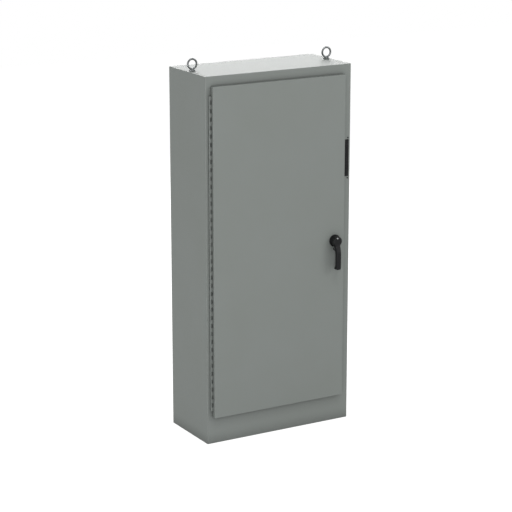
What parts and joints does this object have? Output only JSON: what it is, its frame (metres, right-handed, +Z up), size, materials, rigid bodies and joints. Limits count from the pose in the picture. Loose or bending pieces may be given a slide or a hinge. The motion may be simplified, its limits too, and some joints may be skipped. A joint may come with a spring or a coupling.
{
  "type": "automatic transfer switch",
  "caption": "Floor-standing grey sheet steel cabinet with a tall hinged door, a black hanging latch handle, lifting eyes and a double-throw transfer mechanism inside.",
  "frame": {"origin": "centre of the enclosure's footprint, on the floor", "axes": "+Z up, -Y out of the door, +X to the right of a person facing the door"},
  "size_m": [1.016, 0.5437, 2.3645],
  "materials": {
    "enclosure_paint": "satin textured polyester powder coat, light grey",
    "panel_paint": "smooth white powder coat",
    "black_moulding": "moulded glass-filled nylon, fine grain",
    "black_screw": "black oxide steel",
    "zinc_steel": "bright zinc plated steel",
    "bronze": "sintered bronze",
    "insulator": "moulded polyester glass, red-brown",
    "copper": "bare copper bar, lightly oxidised",
    "lug_aluminium": "tin plated aluminium",
    "coil_tape": "varnished polyester tape",
    "grey_moulding": "moulded polycarbonate, grey",
    "display_glass": "tinted display window",
    "transformer_steel": "varnished core laminations",
    "relay_cover": "clear relay dust cover",
    "gasket_rubber": "closed-cell neoprene",
    "wire_pvc": "braided sleeve over leads"
  },
  "bodies": {
    "enclosure": {"left_side_panel": "enclosure_paint", "right_side_panel": "enclosure_paint", "top_panel": "enclosure_paint", "rear_panel": "enclosure_paint", "floor_pan": "enclosure_paint", "front_rails": "enclosure_paint", "door_opening_rim": "enclosure_paint", "flange_cover": "black_moulding", "flange_cover_screws": "black_screw", "hinge_frame_leaf": "enclosure_paint", "hinge_pin": "zinc_steel", "lifting_eye_left": "zinc_steel", "lifting_eye_right": "zinc_steel", "lifting_doublers": "zinc_steel", "lifting_nuts": "zinc_steel", "mounting_panel": "panel_paint", "panel_fixings": "zinc_steel", "switch_base_plate": "zinc_steel", "side_frames": "zinc_steel", "shaft_bearings": "bronze", "pole_bases": "insulator", "arc_chutes": "black_moulding", "normal_bus": "copper", "emergency_bus": "copper", "load_bus": "copper", "terminal_lugs": "lug_aluminium", "bus_insulators": "insulator", "solenoid_frame": "zinc_steel", "solenoid_coil": "coil_tape", "auxiliary_switches": "grey_moulding", "neutral_bar": "copper", "ground_bar": "copper", "controller_housing": "grey_moulding", "controller_display": "display_glass", "control_transformer": "transformer_steel", "din_rail": "zinc_steel", "terminal_blocks": "grey_moulding", "control_relays": "relay_cover", "wire_duct": "grey_moulding", "control_harness": "wire_pvc"},
    "door": {"door_panel": "enclosure_paint", "hinge_door_leaf": "enclosure_paint", "door_gasket": "gasket_rubber", "door_stiffeners": "enclosure_paint", "data_pocket": "enclosure_paint", "handle_escutcheon": "black_moulding", "spindle_bushing": "zinc_steel", "rod_guides": "zinc_steel"},
    "handle": {"handle": "black_moulding", "handle_spindle": "zinc_steel", "latch_cam": "zinc_steel"},
    "upper_rod": {"upper_latch_rod": "zinc_steel"},
    "lower_rod": {"lower_latch_rod": "zinc_steel"},
    "upper_roller": {"upper_roller": "grey_moulding"},
    "lower_roller": {"lower_roller": "grey_moulding"},
    "contact_shaft": {"contact_shaft": "black_moulding", "moving_contacts": "copper", "drive_crank": "zinc_steel"},
    "plunger": {"plunger": "zinc_steel"},
    "test_button": {"test_button": "black_moulding"}
  },
  "joints": [
    {"name": "door_hinge", "type": "hinge", "parent": "enclosure", "child": "door", "pos_m": [-0.4865, -0.2366, 1.191], "axis": [0, 0, -1], "range_deg": [0, 120]},
    {"name": "handle_turn", "type": "hinge", "parent": "door", "child": "handle", "pos_m": [0.382, -0.2586, 1.191], "axis": [0, 1, 0], "range_deg": [0, 90]},
    {"name": "upper_rod_slide", "type": "slide", "parent": "door", "child": "upper_rod", "axis": [0, 0, -1], "range_m": [0, 0.03537]},
    {"name": "lower_rod_slide", "type": "slide", "parent": "door", "child": "lower_rod", "axis": [0, 0, 1], "range_m": [0, 0.03537]},
    {"name": "upper_roller_spin", "type": "hinge", "parent": "upper_rod", "child": "upper_roller", "pos_m": [0.382, -0.2148, 2.2104], "axis": [1, 0, 0], "continuous": true},
    {"name": "lower_roller_spin", "type": "hinge", "parent": "lower_rod", "child": "lower_roller", "pos_m": [0.382, -0.2148, 0.1859], "axis": [1, 0, 0], "continuous": true},
    {"name": "transfer_turn", "type": "hinge", "parent": "enclosure", "child": "contact_shaft", "pos_m": [0, 0.07182, 1.236], "axis": [-1, 0, 0], "range_deg": [0, 20]},
    {"name": "plunger_slide", "type": "slide", "parent": "enclosure", "child": "plunger", "axis": [0, 0, 1], "range_m": [0, 0.0139]},
    {"name": "test_button_press", "type": "slide", "parent": "enclosure", "child": "test_button", "axis": [0, 1, 0], "range_m": [0, 0.003], "stiffness_N_per_m": 400}
  ],
  "couplings": [
    {"joint": "upper_rod_slide", "follows": "handle_turn", "m_per_rad": 0.022508},
    {"joint": "lower_rod_slide", "follows": "handle_turn", "m_per_rad": 0.022508},
    {"joint": "plunger_slide", "follows": "transfer_turn", "m_per_rad": 0.039797}
  ]
}
